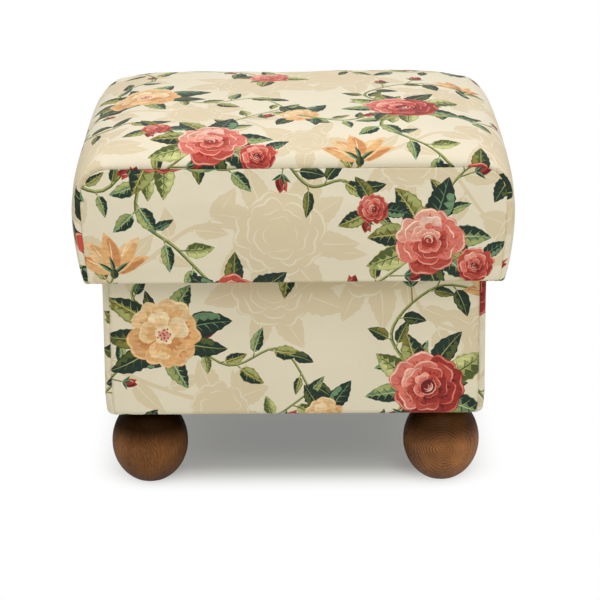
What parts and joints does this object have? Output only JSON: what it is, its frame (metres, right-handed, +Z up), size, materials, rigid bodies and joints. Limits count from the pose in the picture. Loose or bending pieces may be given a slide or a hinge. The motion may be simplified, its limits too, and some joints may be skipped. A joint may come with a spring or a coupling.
{
  "type": "upholstered ottoman",
  "caption": "Square-cornered upholstered footstool with an overhanging padded lid that lifts on rear hinges over a lined storage box, on turned ball feet.",
  "frame": {"origin": "on the floor, under the middle of the footstool", "axes": "+X to the right as seen from the front, -Y out of the front, +Z up"},
  "size_m": [0.5196, 0.448, 0.445],
  "materials": {
    "print_fabric": "matte",
    "lining_fabric": "matte",
    "dust_cloth": "matte",
    "filling": "matte",
    "board": "matte",
    "stained_wood": "satin",
    "steel": "satin",
    "nylon": "satin"
  },
  "bodies": {
    "box": {"foot_front_left": "stained_wood", "glide_front_left": "nylon", "hanger_bolt_front_left": "steel", "tee_nut_front_left": "steel", "corner_block_front_left": "board", "foot_front_right": "stained_wood", "glide_front_right": "nylon", "hanger_bolt_front_right": "steel", "tee_nut_front_right": "steel", "corner_block_front_right": "board", "foot_rear_left": "stained_wood", "glide_rear_left": "nylon", "hanger_bolt_rear_left": "steel", "tee_nut_rear_left": "steel", "corner_block_rear_left": "board", "foot_rear_right": "stained_wood", "glide_rear_right": "nylon", "hanger_bolt_rear_right": "steel", "tee_nut_rear_right": "steel", "corner_block_rear_right": "board", "base_board": "board", "front_panel": "board", "back_panel": "board", "left_panel": "board", "right_panel": "board", "box_wadding": "filling", "box_cover_front": "print_fabric", "box_cover_back": "print_fabric", "box_cover_left": "print_fabric", "box_cover_right": "print_fabric", "storage_lining": "lining_fabric", "dust_cloth": "dust_cloth", "hinge_left_box_leaf": "steel", "hinge_left_pin": "steel", "box_screw_left_1": "steel", "box_screw_left_2": "steel", "box_screw_left_3": "steel", "hinge_right_box_leaf": "steel", "hinge_right_pin": "steel", "box_screw_right_1": "steel", "box_screw_right_2": "steel", "box_screw_right_3": "steel"},
    "lid": {"lid_board": "board", "lid_foam": "filling", "lid_wadding": "filling", "lid_cover_band": "print_fabric", "lid_cover_front": "print_fabric", "lid_cover_back": "print_fabric", "lid_lining": "lining_fabric", "hinge_left_lid_leaf": "steel", "lid_screw_left_1": "steel", "lid_screw_left_2": "steel", "lid_screw_left_3": "steel", "hinge_right_lid_leaf": "steel", "lid_screw_right_1": "steel", "lid_screw_right_2": "steel", "lid_screw_right_3": "steel"}
  },
  "joints": [
    {"name": "lid_hinge", "type": "hinge", "parent": "box", "child": "lid", "pos_m": [0, 0.19305, 0.26795], "axis": [-1, 0, 0], "range_deg": [0, 95]}
  ]
}
